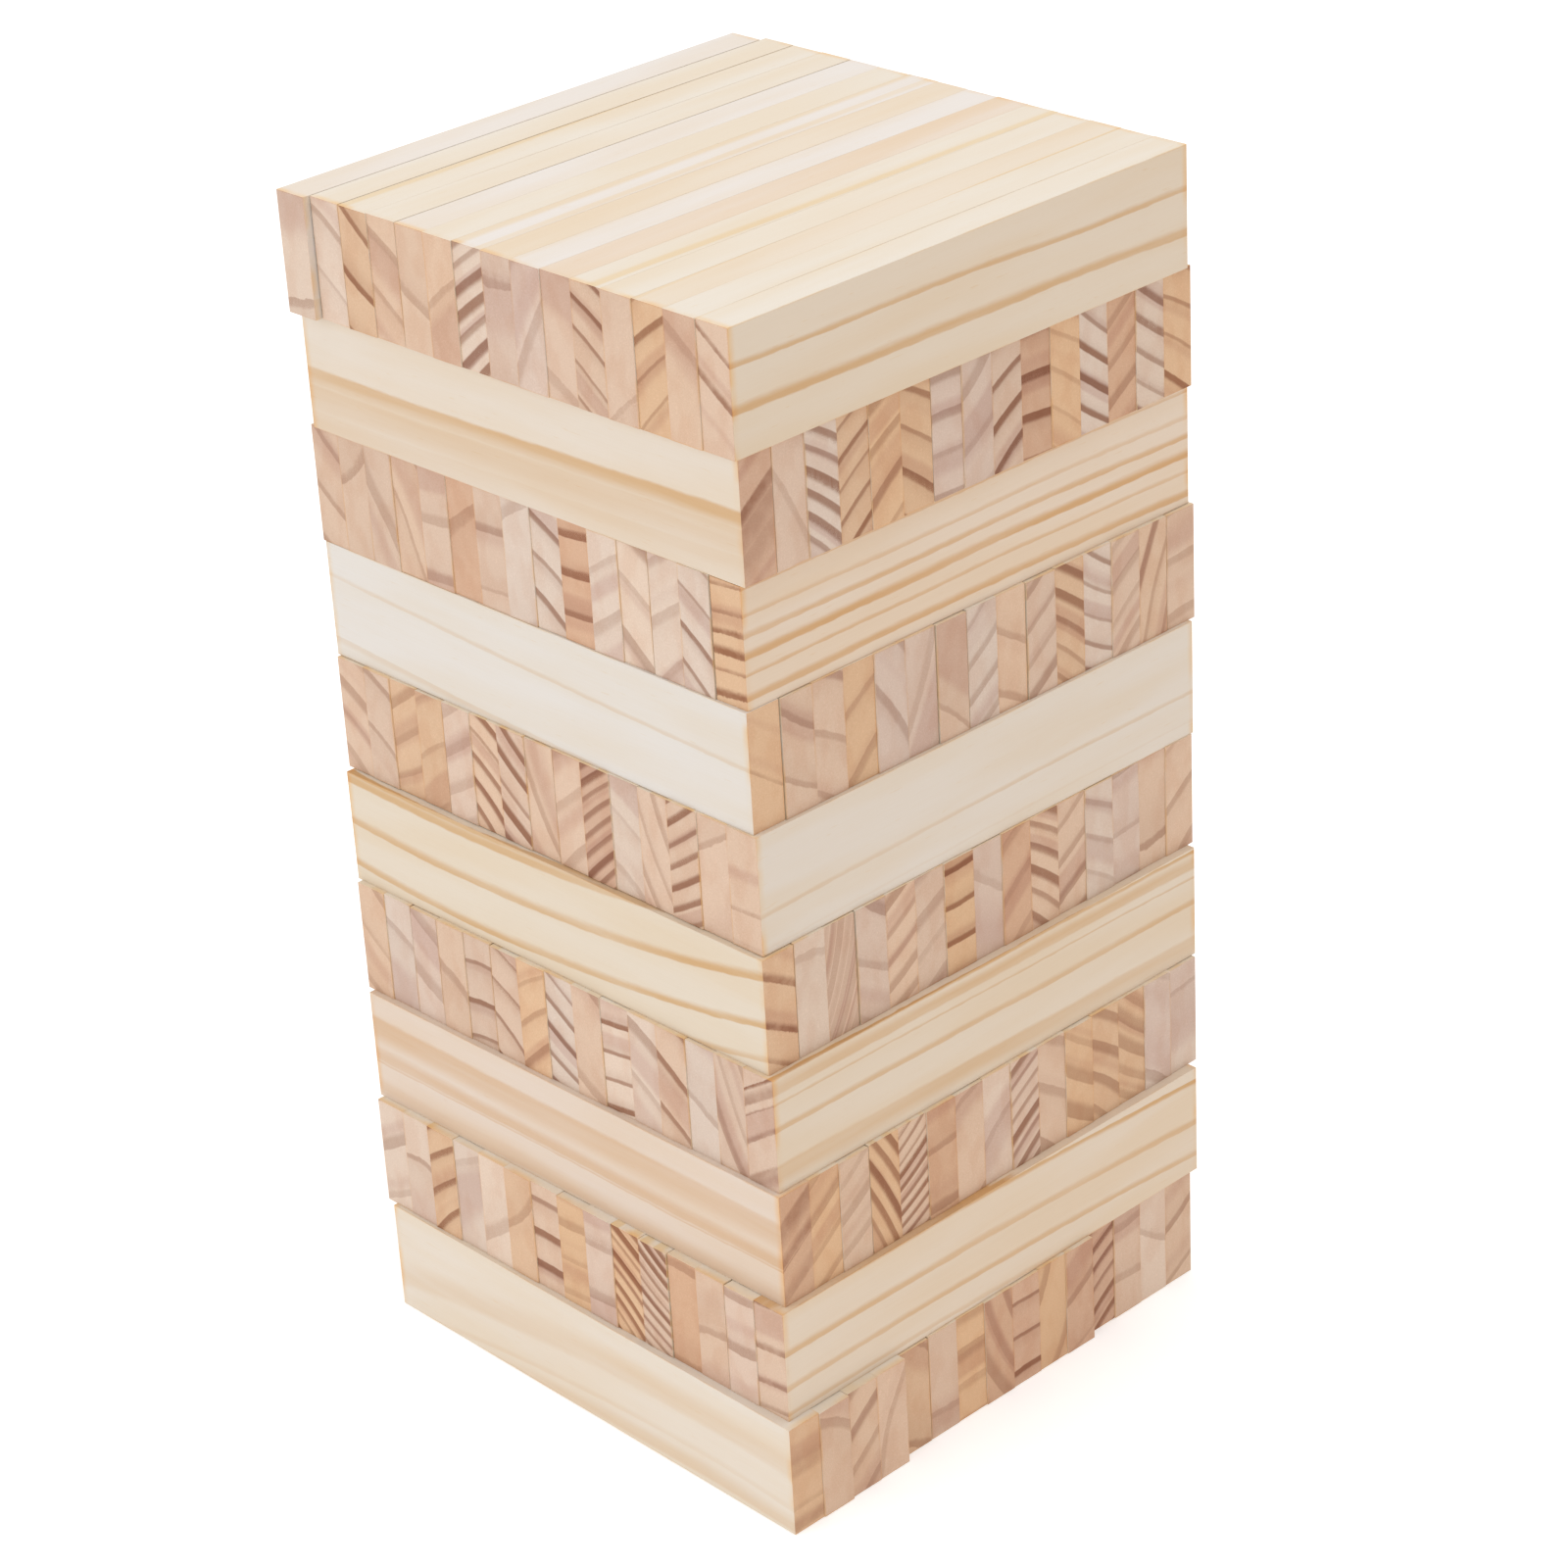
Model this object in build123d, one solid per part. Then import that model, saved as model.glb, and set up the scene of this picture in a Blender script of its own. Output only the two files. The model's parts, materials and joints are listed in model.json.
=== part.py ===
from build123d import *
import os

os.makedirs("parts", exist_ok=True)

# A free-standing tower of loose softwood planks, stacked in crossed layers.
# Millimetres, +Z up.  The origin is the middle of the tower's footprint, on the ground.
#
# Layers are numbered from the top down.  Planks in odd layers run along Y and are
# numbered along +X.  Planks in even layers run along X and are numbered along +Y.

# The stack.
layer_count = 10
planks_per_layer = 15

# Play between a plank and what is next to it.
side_clearance = 0.1
open_joint = 0.5
loose_plank_headroom = 0.2

# One plank, which stands on its long narrow edge.
# A layer is square: its planks side by side are as wide as a plank is long.
plank_thickness = 12.9
plank_height = 40.0
plank_length = planks_per_layer * (plank_thickness + side_clearance)
plank_chamfer = 0.2

# Ends are pushed flush by hand, so they line up only this well, either way.
end_unevenness = 0.25

# How each layer was set down: shift along X, shift along Y, turn in degrees.
layer_placing = {
    1: (-2.5, 2.5, 0.3),
    2: (-3.0, 5.0, 0.3),
    3: (-5.0, 5.0, 0.0),
    4: (-3.5, 5.5, -0.3),
    5: (-2.5, 3.5, -0.2),
    6: (-1.5, 1.5, 0.1),
    7: (1.0, -0.5, 0.2),
    8: (3.0, -2.5, 0.3),
    9: (5.5, -6.0, 0.0),
    10: (7.0, -8.0, -0.6),
}

# Joints that stand open, named by the plank in front of them.
open_joints = {
    1: (1, 2, 4),
    2: (1, 6),
    3: (12, 14),
    4: (1, 6, 7, 9, 14),
    5: (4, 8),
    6: (1, 3),
    7: (2, 3, 5),
    8: (3,),
    9: (11, 13),
    10: (5,),
}

# Planks that carry nothing and can be drawn out one at a time.
# The whole top layer is free.
loose_planks = {
    1: tuple(range(1, planks_per_layer + 1)),
    2: (1, 7, 10, 13),
    3: (3, 7, 12, 15),
    4: (2, 7, 10, 15),
    5: (1, 4, 8, 12),
    6: (1, 3, 8, 12),
    7: (3, 6, 10, 13),
    8: (3, 7, 11, 15),
    9: (4, 8, 11, 14),
    10: (2, 5, 9, 13),
}

# Planks that stand out from the rest, or back from them, as a shift along their length.
pushed_planks = {
    (1, 1): -2.0,
    (10, 1): 3.5,
    (10, 2): 3.5,
    (10, 3): 3.0,
    (10, 4): 3.0,
    (10, 12): -2.5,
    (10, 13): -2.5,
    (10, 14): -2.5,
    (10, 15): -2.5,
}


def make_plank(height):
    """A plank along X, centred, with its underside at z = 0."""
    block = Box(
        plank_length,
        plank_thickness,
        height,
        align=(Align.CENTER, Align.CENTER, Align.MIN),
    )
    return chamfer(block.edges(), plank_chamfer)


def places_across(layer):
    """Where the middle of each plank lies across the layer, measured from the layer's middle."""
    places = []
    edge = 0.0
    for plank in range(1, planks_per_layer + 1):
        places.append(edge + plank_thickness / 2)
        joint = open_joint if plank in open_joints[layer] else side_clearance
        edge += plank_thickness + joint
    middle = (places[0] + places[-1]) / 2
    return [place - middle for place in places]


def shift_along(layer, plank):
    """How far a plank is pushed along its own length."""
    uneven = (7 * plank + 4 * layer) % 11 / 5 - 1
    return pushed_planks.get((layer, plank), 0.0) + end_unevenness * uneven


def place_of(layer, plank, across):
    """Location of a plank in the tower, before the tower is centred."""
    shift_x, shift_y, turn = layer_placing[layer]
    height_above_ground = (layer_count - layer) * plank_height
    along = shift_along(layer, plank)
    on_layer = Pos(shift_x, shift_y, height_above_ground) * Rot(0, 0, turn)
    if layer % 2 == 1:
        return on_layer * Pos(across, along, 0) * Rot(0, 0, 90)
    return on_layer * Pos(along, across, 0)


bearing_plank = make_plank(plank_height)
low_plank = make_plank(plank_height - loose_plank_headroom)

# Nodes: one for every loose plank, and one for the bearing planks of each layer.
nodes = {}
for layer in range(1, layer_count + 1):
    bearing = []
    for plank, across in enumerate(places_across(layer), start=1):
        place = place_of(layer, plank, across)
        if plank not in loose_planks[layer]:
            bearing.append(place * bearing_plank)
        elif layer == 1:
            nodes[f"layer_{layer:02d}_plank_{plank:02d}"] = [place * bearing_plank]
        else:
            nodes[f"layer_{layer:02d}_plank_{plank:02d}"] = [place * low_plank]
    if bearing:
        nodes[f"layer_{layer:02d}_bearing_planks"] = bearing

# Put the origin under the middle of the finished tower.
tower = Compound([solid for solids in nodes.values() for solid in solids])
footprint = tower.bounding_box()
to_origin = Pos(-footprint.center().X, -footprint.center().Y, -footprint.min.Z)
print("overall size", [round(size, 2) for size in footprint.size])

for name, solids in nodes.items():
    placed = [to_origin * solid for solid in solids]
    export_step(Compound(placed), f"parts/{name}.step")
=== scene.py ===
import json
import math
import random

import bpy
from mathutils import Matrix, Vector


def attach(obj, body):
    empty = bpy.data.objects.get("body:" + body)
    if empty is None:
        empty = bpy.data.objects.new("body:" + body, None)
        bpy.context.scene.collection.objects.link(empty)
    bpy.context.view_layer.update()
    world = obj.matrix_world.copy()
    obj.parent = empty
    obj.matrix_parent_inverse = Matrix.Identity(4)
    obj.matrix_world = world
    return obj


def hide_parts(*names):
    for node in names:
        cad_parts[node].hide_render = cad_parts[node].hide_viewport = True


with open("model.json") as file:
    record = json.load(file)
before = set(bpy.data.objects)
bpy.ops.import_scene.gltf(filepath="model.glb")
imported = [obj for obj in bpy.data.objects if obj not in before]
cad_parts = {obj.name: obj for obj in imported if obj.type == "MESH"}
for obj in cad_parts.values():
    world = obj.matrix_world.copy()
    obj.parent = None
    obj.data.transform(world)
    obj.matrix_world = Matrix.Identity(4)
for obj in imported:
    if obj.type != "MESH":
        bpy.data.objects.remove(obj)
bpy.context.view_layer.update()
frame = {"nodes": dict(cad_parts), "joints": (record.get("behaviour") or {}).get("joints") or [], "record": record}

scene = bpy.context.scene

# ---------------------------------------------------------------------------
# Where the planks are, read from the CAD nodes
# ---------------------------------------------------------------------------


def layer_of(node):
    return int(node.split("_")[1])


# The planks of a layer slide along one direction, which its joints state.
run_of_layer = {}
for joint in frame["joints"]:
    run_of_layer[layer_of(joint["child"])] = Vector(joint["axis"]).normalized()


def axes_of(layer):
    """Directions along a layer's planks and across them.  Across points to +X or +Y."""
    along = run_of_layer[layer]
    if layer % 2:
        return along, Vector((along.y, -along.x, 0))
    return along, Vector((-along.y, along.x, 0))


def extent(points, direction):
    places = [p.dot(direction) for p in points]
    return min(places), max(places)


def planks_in(node, thickness):
    """One entry per plank in a CAD node: its middle, and its size along, across and up."""
    layer = layer_of(node)
    along, across = axes_of(layer)
    points = sorted((v.co.copy() for v in frame["nodes"][node].data.vertices), key=across.dot)
    planks = []
    while points:
        edge = points[0].dot(across) + thickness + 1e-5
        mine = [p for p in points if p.dot(across) <= edge]
        points = points[len(mine):]
        a, c, z = extent(mine, along), extent(mine, across), extent(mine, Vector((0, 0, 1)))
        middle = along * sum(a) / 2 + across * sum(c) / 2 + Vector((0, 0, sum(z) / 2))
        size = (a[1] - a[0], c[1] - c[0], z[1] - z[0])
        planks.append({"node": node, "layer": layer, "middle": middle, "size": size})
    return planks


any_loose = frame["joints"][0]["child"]
loose_points = [v.co for v in frame["nodes"][any_loose].data.vertices]
loose_across = extent(loose_points, axes_of(layer_of(any_loose))[1])
thickness = loose_across[1] - loose_across[0]

layers = {}
for node in sorted(frame["nodes"]):
    layers.setdefault(layer_of(node), []).extend(planks_in(node, thickness))
for layer, planks in layers.items():
    planks.sort(key=lambda plank: plank["middle"].dot(axes_of(layer)[1]))
    for number, plank in enumerate(planks, start=1):
        plank["number"] = number

# ---------------------------------------------------------------------------
# What each plank's timber looks like
# ---------------------------------------------------------------------------

# One word per plank, in order across the layer, as its end grain is seen from
# the front of the tower.  First letter: the wood's tint.  Second: how the growth
# rings run (r rises, R rises steeply, f falls, F falls steeply, h level).
# Digit: how many rings the plank's height takes in.  A capital first letter
# marks dark, distinct latewood.
timber = {
    1: "ch1 cf2 Of2 pf2 tf1 pr1 Cr5 lh1 lR1 tf1 Pf4 pr1 Or3 tf1 Pf3",
    2: "br2 lF1 Cf5 Or4 or3 Of3 lh3 lr2 Pr3 Bh3 of3 Cf4 br3 Cf4 Of3",
    3: "tf2 tr1 pF1 tF1 th2 br1 th2 cr1 Cf3 Bh3 cr2 cf2 cr2 Cf3 Oh6",
    4: "of2 tf2 tf2 or2 lF1 lR1 tf1 cr3 tf2 pr3 Of4 Cf4 tr3 tR2 th2",
    5: "tf3 tf2 or3 or2 lr3 Pf4 Pf4 tF1 tr2 Br7 cf2 tF2 Pr5 pr1 ph1",
    6: "Of3 ch1 tR5 lf2 tr4 tr3 Oh3 lf1 br2 Tf5 tr3 cf3 lh2 th1 tr2",
    7: "pf2 cf1 lf2 pf1 Ph3 Pf3 or3 Cf4 pf1 Ch4 cf2 Pf2 cf1 tF2 Pr4",
    8: "br3 or3 tr3 OF3 Pr8 bh2 tr1 cr1 Pr7 tf2 of3 of3 of4 cf1 ch1",
    9: "cr2 ch1 Or3 cr1 cr1 or1 Ph3 oh3 lh2 Of7 Pf8 bh1 th1 lh2 th3",
    10: "oh2 tf1 tr3 tR1 of1 th1 oh3 bF2 Bh3 oR1 br2 Br5 th2 cf1 tr2",
}

# End-grain and side-grain colours by tint letter, linear.
tints = {
    "p": ((0.66, 0.480, 0.360), (0.745, 0.670, 0.570)),
    "o": ((0.675, 0.450, 0.285), (0.745, 0.660, 0.555)),
    "t": ((0.670, 0.485, 0.360), (0.745, 0.670, 0.575)),
    "l": ((0.660, 0.505, 0.410), (0.75, 0.680, 0.595)),
    "c": ((0.69, 0.55, 0.45), (0.75, 0.685, 0.600)),
    "b": ((0.61, 0.39, 0.265), (0.735, 0.650, 0.545)),
}

# How the top layer's planks look from above, in order: pale, cream, honey or rosy.
tops = "pale cream cream cream pale cream pale honey pale rosy cream cream honey cream cream"
top_tones = {
    "pale": (0.735, 0.680, 0.635),
    "cream": (0.735, 0.665, 0.575),
    "honey": (0.730, 0.630, 0.515),
    "rosy": (0.725, 0.615, 0.515),
}

slopes = {"r": 36, "R": 66, "f": -34, "F": -62, "h": 3}

# The long faces on the outside of the tower: side colour, how far the latewood
# bands tilt and bow on their way along the plank, and the bands.  A band is its
# place (0 top edge, 1 bottom edge), its width, its depth of colour and its soft
# side (up or down).  All lengths are parts of the plank's height.
long_faces = {
    (1, 15): ((0.70, 0.58, 0.455), 0.06, 0.01,
              [(0.315, 0.045, 0.75, "up"), (0.665, 0.07, 0.80, "up")]),
    (2, 1): ((0.70, 0.615, 0.525), -0.08, -0.02,
             [(0.51, 0.13, 0.80, "down"), (0.68, 0.24, 0.42, "down"), (0.90, 0.22, 0.30, "down")]),
    (3, 15): ((0.72, 0.58, 0.455), 0.01, 0.01,
              [(0.02, 0.03, 0.55, "up"), (0.24, 0.035, 0.50, "up"), (0.40, 0.045, 0.95, "up"),
               (0.56, 0.065, 0.95, "up"), (0.71, 0.03, 0.62, "up"), (0.895, 0.055, 0.90, "up")]),
    (4, 1): ((0.69, 0.645, 0.60), 0.20, -0.02,
             [(0.40, 0.035, 0.34, "up"), (0.97, 0.05, 0.30, "down")]),
    (5, 15): ((0.70, 0.61, 0.52), -0.05, 0.02,
              [(0.63, 0.035, 0.40, "up"), (0.90, 0.02, 0.12, "up")]),
    (6, 1): ((0.69, 0.60, 0.49), -0.30, -0.17,
             [(0.0, 0.05, 1.0, "down"), (0.07, 0.09, 0.85, "up"), (0.47, 0.07, 0.85, "up"),
              (0.87, 0.06, 0.85, "up"), (1.18, 0.05, 0.6, "up")]),
    (7, 15): ((0.70, 0.58, 0.455), 0.05, 0.0,
              [(0.0, 0.03, 1.0, "down"), (0.12, 0.10, 0.62, "up"), (0.24, 0.02, 0.50, "up"),
               (0.475, 0.05, 0.62, "up"), (0.84, 0.15, 0.55, "down")]),
    (8, 1): ((0.69, 0.575, 0.485), 0.02, 0.0,
             [(0.31, 0.20, 0.55, "down"), (0.61, 0.11, 0.55, "up"), (0.67, 0.02, 0.45, "up"),
              (0.93, 0.13, 0.38, "up")]),
    (9, 15): ((0.71, 0.585, 0.46), 0.15, 0.04,
              [(0.01, 0.04, 1.0, "down"), (0.42, 0.06, 0.72, "up"), (0.73, 0.05, 0.66, "up"),
               (0.97, 0.04, 0.5, "up")]),
    (10, 1): ((0.72, 0.645, 0.56), -0.34, 0.15,
              [(0.40, 0.20, 0.30, "up"), (0.46, 0.05, 0.22, "down"), (0.78, 0.05, 0.20, "up"),
               (0.95, 0.12, 0.34, "up")]),
}


def describe(plank, rng):
    """Adds a plank's ring geometry and colours to its entry."""
    tint, slope, count = timber[plank["layer"]].split()[plank["number"] - 1]
    angle = math.radians(slopes[slope] + rng.uniform(-5, 5))
    rings = max(int(count), 0.7) * rng.uniform(0.92, 1.08)
    height = plank["size"][2]
    plank["spacing"] = height * math.cos(angle) / rings if abs(slopes[slope]) < 50 else height * 0.42 / rings
    toward_pith = Vector((0, -math.sin(angle), math.cos(angle))) * rng.choice((-1, 1))
    plank["pith"] = toward_pith * rng.uniform(1.8, 5.0) * height
    plank["lean"] = Vector((0, rng.uniform(-0.010, 0.010), rng.uniform(-0.018, 0.018)))
    plank["bold"] = rng.uniform(0.85, 1.1) if tint.isupper() else rng.uniform(0.36, 0.62)
    plank["band_width"] = rng.uniform(0.0022, 0.0034) if tint.isupper() else rng.uniform(0.0028, 0.0055)
    end, side = tints[tint.lower()]
    shade = rng.uniform(0.955, 1.015)
    warm = rng.uniform(-0.015, 0.015)
    plank["end_tone"] = [end[0] * shade + warm, end[1] * shade, end[2] * shade - warm]
    # Painted warm light: the even layers' end faces, seen on the tower's right-hand side, are tinted warmer for
    # the warm light that side gets.
    if plank["layer"] % 2 == 0:
        plank["end_tone"] = [c * w for c, w in zip(plank["end_tone"], (1.0, 0.975, 0.95))]
    shade = (1 + shade) / 2
    plank["side_tone"] = [side[0] * shade, side[1] * shade, side[2] * (shade - warm / 2)]
    plank["seed"] = Vector([rng.uniform(-20, 20) for _ in range(3)])
    plank["rise"] = -math.tan(angle)
    if plank["layer"] == 1:
        plank["side_tone"] = top_tones[tops.split()[plank["number"] - 1]]
    if (plank["layer"], plank["number"]) in long_faces:
        plank["side_tone"] = long_faces[plank["layer"], plank["number"]][0]


# ---------------------------------------------------------------------------
# Plank meshes
# ---------------------------------------------------------------------------

edge_radius = 0.00007
swelling = 0.00004  # how far each side face stands out into the play beside it
stations = (10, 2, 3)  # how many strips the flat of a face has along, across and up
hollow_depth = 0.00005  # the most a face dips between its ends
edge_rub = 0.00003  # the most an edge is worn back
face_rub = 0.00002


def grid_lines(size, strips):
    """Places along one edge of a plank: close together at the rounded ends."""
    half = size / 2
    inner = half - edge_radius
    flat = [-inner + 2 * inner * k / strips for k in range(strips + 1)]
    return [-half, -half + edge_radius * 0.45] + flat + [half - edge_radius * 0.45, half]


def rounded(point, size):
    """Moves a point of a sharp box's surface onto the rounded box."""
    inner = Vector([max(-s / 2 + edge_radius, min(s / 2 - edge_radius, c)) for s, c in zip(size, point)])
    out = point - inner
    return inner + out.normalized() * edge_radius if out.length > 1e-9 else point


def plank_surface(size):
    """Vertices and faces of a rounded box, with each face's axis (0 along, 1 across, 2 up)
    and whether it belongs to the rounding."""
    lines = [grid_lines(s, n) for s, n in zip(size, stations)]
    index, points, faces, axes, curved = {}, [], [], [], []

    def corner(i, j, k):
        key = (i, j, k)
        if key not in index:
            index[key] = len(points)
            points.append(Vector((lines[0][i], lines[1][j], lines[2][k])))
        return index[key]

    last = [len(line) - 1 for line in lines]
    for axis in range(3):
        a, b = [n for n in range(3) if n != axis]
        for at in (0, last[axis]):
            for i in range(last[a]):
                for j in range(last[b]):
                    loop = []
                    for di, dj in ((0, 0), (1, 0), (1, 1), (0, 1)):
                        place = [0, 0, 0]
                        place[axis], place[a], place[b] = at, i + di, j + dj
                        loop.append(corner(*place))
                    if (at == 0) != (axis == 1):
                        loop.reverse()
                    faces.append(loop)
                    axes.append(axis)
                    curved.append(not (2 <= i <= last[a] - 3 and 2 <= j <= last[b] - 3))
    return [rounded(p, size) for p in points], faces, axes, curved


def worn(points, size, rng):
    """Tiny hollows on the faces and rubbed spots on the edges.  Everything moves inwards."""
    bow = [rng.uniform(0, hollow_depth) for _ in range(3)]
    for p in points:
        edges = sum(1 for c, s in zip(p, size) if s / 2 - abs(c) < edge_radius * 0.6)
        unevenness = rng.uniform(0, edge_rub if edges >= 2 else face_rub)
        for n in (1, 2):
            near = 1 - (2 * p.x / size[0]) ** 2
            p[n] -= math.copysign(unevenness * 0.7 + bow[n] * near, p[n]) if abs(p[n]) > size[n] / 4 else 0
        if abs(p.x) > size[0] / 2 - 0.0005:
            p.x -= math.copysign(unevenness, p.x)
    return points


def store(mesh, name, kind, domain, values):
    attribute = mesh.attributes.new(name, kind, domain)
    field = {"FLOAT": "value", "FLOAT_VECTOR": "vector", "FLOAT_COLOR": "color"}[kind]
    flat = [x for value in values for x in value] if kind != "FLOAT" else values
    attribute.data.foreach_set(field, flat)


def make_plank(plank):
    rng = random.Random(1000 * plank["layer"] + plank["number"])
    describe(plank, rng)
    along, across = axes_of(plank["layer"])
    length, breadth, height = plank["size"]
    points, faces, axes, curved = plank_surface((length, breadth + 2 * swelling, height))
    points = worn(points, plank["size"], rng)
    turn = Matrix((along, across, Vector((0, 0, 1)))).transposed()
    name = f"pine_plank_{plank['layer']:02d}_{plank['number']:02d}"
    mesh = bpy.data.meshes.new(name)
    mesh.from_pydata([turn @ p + plank["middle"] for p in points], [], faces)

    rings, places = [], []
    for p in points:
        across_grain = (p - plank["pith"] - plank["lean"] * p.x) / plank["spacing"]
        rings.append((p.x, across_grain.y, across_grain.z))
        places.append(tuple(p))
    count = len(points)
    store(mesh, "ring_place", "FLOAT_VECTOR", "POINT", rings)
    store(mesh, "plank_place", "FLOAT_VECTOR", "POINT", places)
    store(mesh, "seed", "FLOAT_VECTOR", "POINT", [tuple(plank["seed"])] * count)
    traits = (plank["bold"], plank["band_width"], plank["spacing"])
    store(mesh, "traits", "FLOAT_VECTOR", "POINT", [traits] * count)
    store(mesh, "end_tone", "FLOAT_COLOR", "POINT", [(*plank["end_tone"], 1)] * count)
    store(mesh, "side_tone", "FLOAT_COLOR", "POINT", [(*plank["side_tone"], 1)] * count)
    store(mesh, "end_grain", "FLOAT", "FACE", [1.0 if axis == 0 else 0.0 for axis in axes])
    mesh.polygons.foreach_set("use_smooth", curved)
    mesh.update()

    piece = bpy.data.objects.new(name, mesh)
    scene.collection.objects.link(piece)
    mesh.materials.append(make_pine(plank))
    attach(piece, body_of_node[plank["node"]])
    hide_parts(plank["node"])
    return piece


# ---------------------------------------------------------------------------
# Pine: one material that reads each plank's own facts, and one for each outer long face
# ---------------------------------------------------------------------------


class Tree:
    """A short way to write shader nodes."""

    def __init__(self, material):
        material.use_nodes = True
        self.tree = material.node_tree
        self.tree.nodes.clear()

    def add(self, kind, inputs=None, **settings):
        made = self.tree.nodes.new(kind)
        for key, value in settings.items():
            setattr(made, key, value)
        for key, value in (inputs or {}).items():
            self.plug(made.inputs[key], value)
        return made

    def plug(self, socket, value):
        if isinstance(value, bpy.types.NodeSocket):
            self.tree.links.new(value, socket)
        else:
            socket.default_value = value

    def attribute(self, name, output="Vector"):
        return self.add("ShaderNodeAttribute", attribute_name=name).outputs[output]

    def math(self, operation, a, b=0.0, c=0.0, clamp=False):
        made = self.add("ShaderNodeMath", {0: a, 1: b, 2: c}, operation=operation, use_clamp=clamp)
        return made.outputs[0]

    def vector(self, operation, a, b=(0, 0, 0)):
        made = self.add("ShaderNodeVectorMath", {0: a, 1: b}, operation=operation)
        return made.outputs["Value" if operation == "LENGTH" else "Vector"]

    def noise(self, place, scale, detail=2.0, roughness=0.5):
        inputs = {"Vector": place, "Scale": scale, "Detail": detail, "Roughness": roughness}
        return self.add("ShaderNodeTexNoise", inputs).outputs["Fac"]

    def between(self, value, low, high, to_low=0.0, to_high=1.0):
        inputs = {"Value": value, "From Min": low, "From Max": high, "To Min": to_low, "To Max": to_high}
        return self.add("ShaderNodeMapRange", inputs, interpolation_type="SMOOTHSTEP").outputs[0]

    def mix(self, factor, a, b, blend="MIX"):
        made = self.add("ShaderNodeMix", data_type="RGBA", blend_type=blend)
        for index, value in ((0, factor), (6, a), (7, b)):
            self.plug(made.inputs[index], value)
        return made.outputs[2]

    def mix_value(self, factor, a, b):
        made = self.add("ShaderNodeMix", data_type="FLOAT")
        for index, value in ((0, factor), (2, a), (3, b)):
            self.plug(made.inputs[index], value)
        return made.outputs[0]

    def split(self, vector):
        return self.add("ShaderNodeSeparateXYZ", {0: vector}).outputs

    def join(self, x, y, z):
        return self.add("ShaderNodeCombineXYZ", {0: x, 1: y, 2: z}).outputs[0]

    def noise_along(self, value, seed, frequency):
        """Noise that varies with one value only."""
        inputs = {"W": self.math("MULTIPLY_ADD", value, frequency, seed), "Scale": 1.0, "Detail": 1.0}
        return self.add("ShaderNodeTexNoise", inputs, noise_dimensions="1D").outputs["Fac"]

    def tint(self, factor, colour, by):
        """Multiplies a colour by another one, as far as the factor says."""
        return self.mix(factor, colour, (*by, 1), "MULTIPLY")


def ring_latewood(t, place):
    """Latewood of an ordinary plank: its growth rings are set by where the pith is."""
    bold, width, spacing = t.split(t.attribute("traits"))
    _, ring_y, ring_z = t.split(t.attribute("ring_place"))
    drift = t.noise(t.vector("MULTIPLY", place, (5, 26, 26)), 1.0, 1.0)
    ripple = t.noise(t.vector("MULTIPLY", place, (24, 260, 260)), 1.0, 2.0)
    radius = t.vector("LENGTH", t.join(0.0, ring_y, ring_z))
    radius = t.math("ADD", radius, t.math("MULTIPLY_ADD", drift, 0.34, -0.17))
    radius = t.math("ADD", radius, t.math("MULTIPLY_ADD", ripple, 0.05, -0.025))
    phase = t.math("FRACT", radius)
    seed_x, _, _ = t.split(t.attribute("seed"))
    each = t.add("ShaderNodeTexWhiteNoise", {"W": t.math("ADD", t.math("FLOOR", radius), seed_x)},
                 noise_dimensions="1D").outputs["Value"]
    to_next = t.math("MULTIPLY", t.math("SUBTRACT", 1.0, phase), spacing)
    own_width = t.math("MULTIPLY", width, t.math("MULTIPLY_ADD", each, 0.7, 0.65))
    core = t.between(to_next, own_width, t.math("MULTIPLY", own_width, 0.55))
    core = t.math("MULTIPLY", core, t.between(to_next, 0.0, 0.0005))
    soft = t.math("MULTIPLY", t.between(phase, 0.35, 0.95), t.between(to_next, 0.0, 0.0008, 0.0, 0.26))
    late = t.math("MAXIMUM", core, soft)
    late = t.math("MULTIPLY", late, t.math("MULTIPLY_ADD", each, 0.55, 0.50), clamp=True)
    return t.math("MULTIPLY", late, bold), t.noise_along(radius, seed_x, 0.9)


def banded_latewood(t, place, plank):
    """Latewood of a plank whose long face is on the outside of the tower."""
    _, tilt, bow, bands = long_faces[plank["layer"], plank["number"]]
    length, breadth, height = plank["size"]
    outer = breadth / 2 if plank["number"] > 1 else -breadth / 2
    along, across, up = t.split(t.attribute("plank_place"))
    along = t.math("DIVIDE", along, length)
    down = t.math("MULTIPLY_ADD", up, -1 / height, 0.5)
    down = t.math("SUBTRACT", down, t.math("MULTIPLY", along, tilt))
    down = t.math("SUBTRACT", down, t.math("MULTIPLY", t.math("MULTIPLY", along, along), 4 * bow))
    inwards = t.math("SUBTRACT", across, outer)
    down = t.math("ADD", down, t.math("MULTIPLY", inwards, plank["rise"] * -1 / height))
    sway = t.noise(t.vector("MULTIPLY", place, (11, 30, 30)), 1.0, 1.0)
    ragged = t.noise(t.vector("MULTIPLY", place, (150, 900, 900)), 1.0, 2.0)
    down = t.math("ADD", down, t.math("MULTIPLY_ADD", sway, 0.07, -0.035))
    down = t.math("ADD", down, t.math("MULTIPLY_ADD", ragged, 0.022, -0.011))
    late = 0.0
    for middle, width, depth, soft_side in bands:
        away = 1 if soft_side == "down" else -1
        crisp_edge = middle - away * width * 0.5
        crisp = t.between(down, crisp_edge, crisp_edge + away * width * 0.25)
        soft = t.between(down, middle + away * width * 1.1, middle + away * width * 0.1)
        late = t.math("MAXIMUM", late, t.math("MULTIPLY", t.math("MULTIPLY", crisp, soft), depth))
    fade = t.noise(t.vector("MULTIPLY", place, (9, 160, 160)), 1.0, 2.0)
    late = t.math("MULTIPLY", late, t.between(fade, 0.25, 0.65, 0.62, 1.08))
    return late, t.noise_along(down, plank["seed"].x, 2.5)


materials = {}

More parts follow.
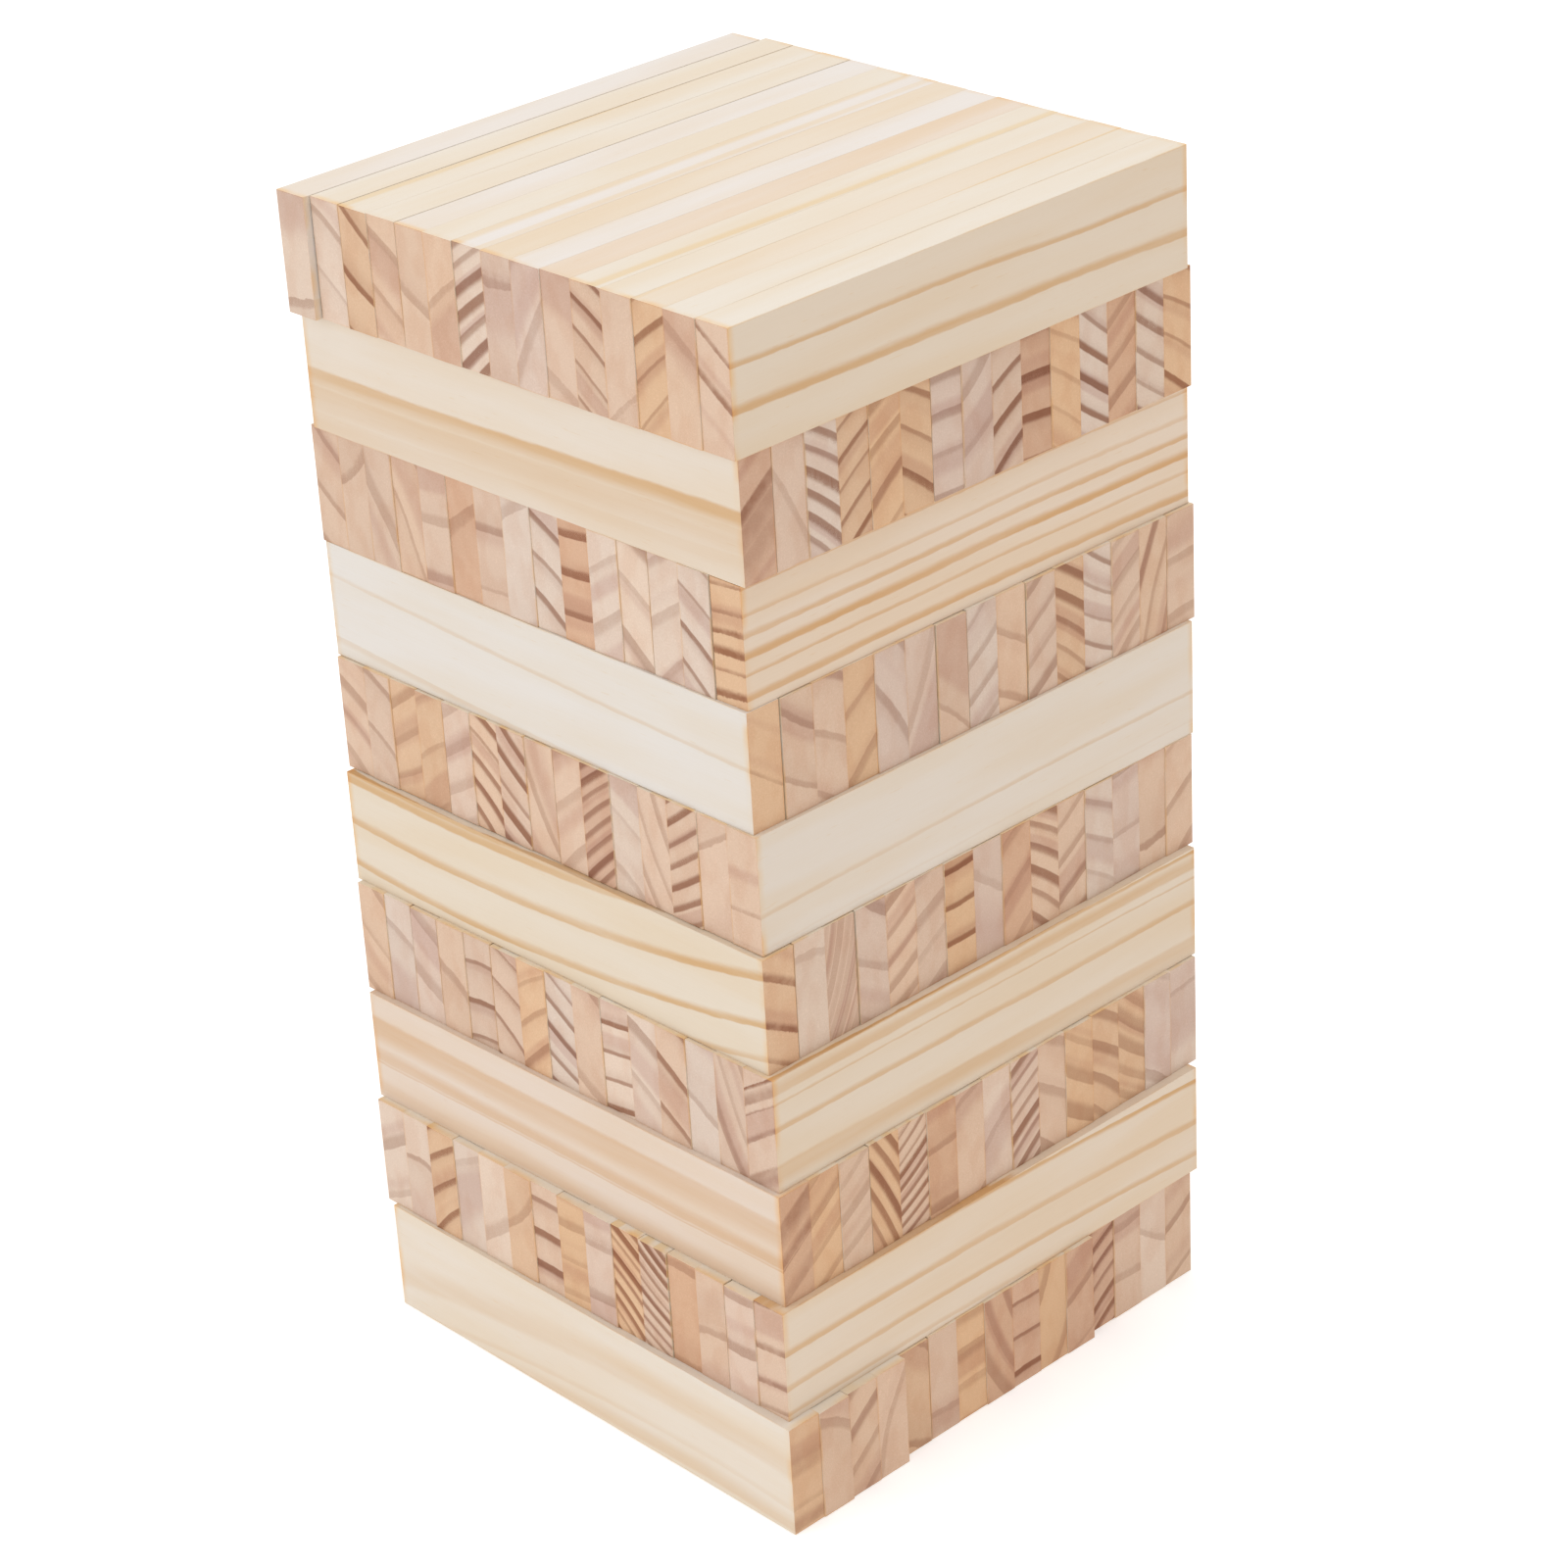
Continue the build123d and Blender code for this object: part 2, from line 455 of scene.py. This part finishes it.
# What a colour is multiplied by, linear.
honey_band = (0.985, 0.86, 0.65)
deep_honey_band = (0.83, 0.60, 0.35)
side_cloud = (0.985, 0.94, 0.87)
side_fibre = (0.97, 0.92, 0.84)
resin_streak = (0.95, 0.80, 0.58)
end_blot = (0.94, 0.87, 0.83)
brown_zone = (0.87, 0.80, 0.80)
end_band = (0.44, 0.28, 0.21)
white_speck = (1.12, 1.13, 1.15)
open_pore = (0.88, 0.81, 0.74)
saw_mark = (1.06, 1.05, 1.04)
# Partly wear, partly painted warm shade along the edges of every face.
worn_and_shaded_edge = (1.0, 0.82, 0.58)
# Painted warm shade of the open joints near the planks' ends.
warm_end_shade = (1.04, 0.76, 0.42)

worn_and_shaded_edge_width = 0.0007
warm_end_width = 0.0030


def make_pine(plank):
    """Ordinary planks share one material.  A plank with its long face outside has its own."""
    key = (plank["layer"], plank["number"])
    if key not in long_faces:
        key = None
    if key in materials:
        return materials[key]
    name = "bare_pine" if key is None else "bare_pine_layer_%02d_plank_%02d" % key
    material = bpy.data.materials.new(name)
    materials[key] = material
    t = Tree(material)
    place = t.vector("ADD", t.attribute("plank_place"), t.attribute("seed"))
    end = t.attribute("end_grain", "Fac")
    late, zone = ring_latewood(t, place) if key is None else banded_latewood(t, place, plank)
    band = honey_band if key is None else deep_honey_band

    # Side grain: cream with honey bands, fine fibres and a few resin streaks.
    fibre = t.noise(t.vector("MULTIPLY", place, (60, 2600, 2600)), 1.0, 3.0, 0.6)
    cloud = t.noise(t.vector("MULTIPLY", place, (9, 70, 70)), 1.0, 2.0)
    streak = t.noise(t.vector("MULTIPLY", place, (130, 1700, 1700)), 1.0, 1.0)
    tone = t.attribute("side_tone", "Color")
    if key == (1, 15):
        # Its top is cream like its neighbours, and paler than its long face.
        half_height = plank["size"][2] / 2
        up = t.split(t.attribute("plank_place"))[2]
        above = t.between(up, half_height - 0.00015, half_height - 0.00005)
        tone = t.mix(above, tone, (*top_tones["cream"], 1))
    side = t.tint(t.between(cloud, 0.35, 0.7), tone, side_cloud)
    side = t.tint(late, side, band)
    side = t.tint(t.between(fibre, 0.35, 0.75, 0.0, 0.22), side, side_fibre)
    side = t.tint(t.between(streak, 0.72, 0.80, 0.0, 0.4), side, resin_streak)

    # End grain: the plank's own tint, brown latewood and the speckle of open pores.
    pores = t.noise(place, 2300, 2.0, 0.7)
    blot = t.noise(t.vector("MULTIPLY", place, (40, 150, 90)), 1.0, 1.0)
    saw = t.noise(t.vector("MULTIPLY", place, (1, 2100, 240)), 1.0, 2.0)
    speck = t.noise(t.vector("ADD", place, (3.0, 5.0, 7.0)), 1500, 1.0, 0.6)
    ends = t.tint(t.between(blot, 0.42, 0.66, 0.0, 0.6), t.attribute("end_tone", "Color"), end_blot)
    ends = t.tint(t.between(zone, 0.52, 0.66, 0.0, 1.0), ends, brown_zone)
    ends = t.tint(late, ends, end_band)
    ends = t.tint(t.between(speck, 0.58, 0.70, 0.0, 0.5), ends, white_speck)
    ends = t.tint(t.between(pores, 0.40, 0.72, 0.0, 0.45), ends, open_pore)
    ends = t.tint(t.between(saw, 0.50, 0.75, 0.0, 0.28), ends, saw_mark)
    colour = t.mix(end, side, ends)

    # Edges tinted warm and darker, partly wear and partly painted shade of the crevices: distance to the nearest
    # edge of the face, the middle one of three.
    half = [s / 2 for s in layers[1][1]["size"]]
    places = t.split(t.attribute("plank_place"))
    gaps = [t.math("SUBTRACT", h, t.math("ABSOLUTE", c)) for h, c in zip(half, places)]
    low = t.math("MINIMUM", gaps[0], gaps[1])
    high = t.math("MAXIMUM", gaps[0], gaps[1])
    to_edge = t.math("MAXIMUM", low, t.math("MINIMUM", high, gaps[2]))
    unevenness = t.noise(place, 60, 2.0)
    edge = t.math("SUBTRACT", 1.0, t.between(to_edge, 0.0, worn_and_shaded_edge_width))
    edge = t.math("MULTIPLY", edge, t.between(unevenness, 0.42, 0.62, 0.12, 1.0))
    depth = t.math("MULTIPLY_ADD", end, 0.45, 0.10) if key is None else 0.55
    colour = t.tint(t.math("MULTIPLY", edge, depth), colour, worn_and_shaded_edge)
    # Painted warm shade: side grain within a few millimetres of a plank's end is tinted orange-brown, the way the
    # open joints look in shade.
    near_end = t.between(gaps[0], warm_end_width, 0.0002, 0.0, t.between(unevenness, 0.40, 0.62, 0.15, 1.0))
    near_end = t.math("MULTIPLY", near_end, t.math("SUBTRACT", 1.0, end))
    colour = t.tint(t.math("MULTIPLY", near_end, 0.65), colour, warm_end_shade)

    end_rough = t.math("MULTIPLY_ADD", pores, 0.16, 0.72)
    rough = t.mix_value(end, t.math("MULTIPLY_ADD", fibre, 0.24, 0.50), end_rough)
    rough = t.math("SUBTRACT", rough, t.math("MULTIPLY", late, 0.08))
    relief = t.mix_value(end, t.math("MULTIPLY_ADD", fibre, 0.6, t.math("MULTIPLY", late, 0.5)),
                         t.math("ADD", pores, t.math("MULTIPLY", saw, 0.8)))
    bump = t.add("ShaderNodeBump", {"Strength": 0.22, "Distance": 0.00012, "Height": relief})
    shader = t.add("ShaderNodeBsdfPrincipled", {
        "Base Color": colour, "Roughness": rough, "Normal": bump.outputs[0], "Specular IOR Level": 0.28,
    })
    t.add("ShaderNodeOutputMaterial", {"Surface": shader.outputs[0]})
    return material


body_of_node = {n: body for body, nodes in frame["record"]["behaviour"]["bodies"].items() for n in nodes}
for planks in layers.values():
    for plank in planks:
        make_plank(plank)

# ---------------------------------------------------------------------------
# Floor, light and camera
# ---------------------------------------------------------------------------

floor_drop = 0.0002  # keeps the floor clear of the planks' undersides


def make_floor():
    material = bpy.data.materials.new("studio_floor")
    t = Tree(material)
    where = t.add("ShaderNodeTexCoord").outputs["Object"]
    tone = t.between(t.noise(where, 3.0, 2.0), 0.3, 0.7, 0.0, 1.0)
    colour = t.mix(tone, (0.96, 0.96, 0.96, 1), (0.98, 0.98, 0.98, 1))
    shader = t.add("ShaderNodeBsdfPrincipled", {
        "Base Color": colour, "Roughness": 0.9, "Emission Color": (1, 1, 1, 1), "Emission Strength": 0.24,
    })
    t.add("ShaderNodeOutputMaterial", {"Surface": shader.outputs[0]})
    mesh = bpy.data.meshes.new("studio_floor")
    reach = 6.0
    corners = [(-reach, -reach, 0), (reach, -reach, 0), (reach, reach, 0), (-reach, reach, 0)]
    mesh.from_pydata(corners, [], [(0, 1, 2, 3)])
    mesh.materials.append(material)
    floor = bpy.data.objects.new("studio_floor", mesh)
    scene.collection.objects.link(floor)
    floor.location.z = -floor_drop


def area_light(name, place, target, size, power, colour):
    data = bpy.data.lights.new(name, "AREA")
    data.shape = "DISK"
    data.size = size
    data.energy = power
    data.color = colour
    light = bpy.data.objects.new(name, data)
    scene.collection.objects.link(light)
    light.location = place
    light.rotation_euler = (Vector(target) - Vector(place)).to_track_quat("-Z", "Y").to_euler()


make_floor()
world = bpy.data.worlds.new("studio")
scene.world = world
world.use_nodes = True
background = world.node_tree.nodes["Background"]
background.inputs["Color"].default_value = (1.0, 1.0, 1.0, 1)
background.inputs["Strength"].default_value = 0.77
middle = (0, 0, 0.19)
area_light("key", (-0.5, -1.9, 1.4), middle, 1.8, 10, (1.0, 0.99, 0.97))
area_light("top", (0.1, 0.1, 2.0), middle, 1.5, 11, (1.0, 1.0, 1.0))

camera_data = bpy.data.cameras.new("camera")
camera = bpy.data.objects.new("camera", camera_data)
scene.collection.objects.link(camera)
scene.camera = camera
camera_data.sensor_width = 36
camera_data.lens = 97.3
camera_place = Vector((0.9054, -0.8367, 0.8199))
looking = Vector((-0.6521, 0.6066, -0.4548))
right = Vector((0.6994, 0.7129, -0.0519))
up = right.cross(looking)
camera.matrix_world = Matrix.Translation(camera_place) @ Matrix((right, up, -looking)).transposed().to_4x4()

scene.view_settings.view_transform = "Standard"
scene.view_settings.look = "None"
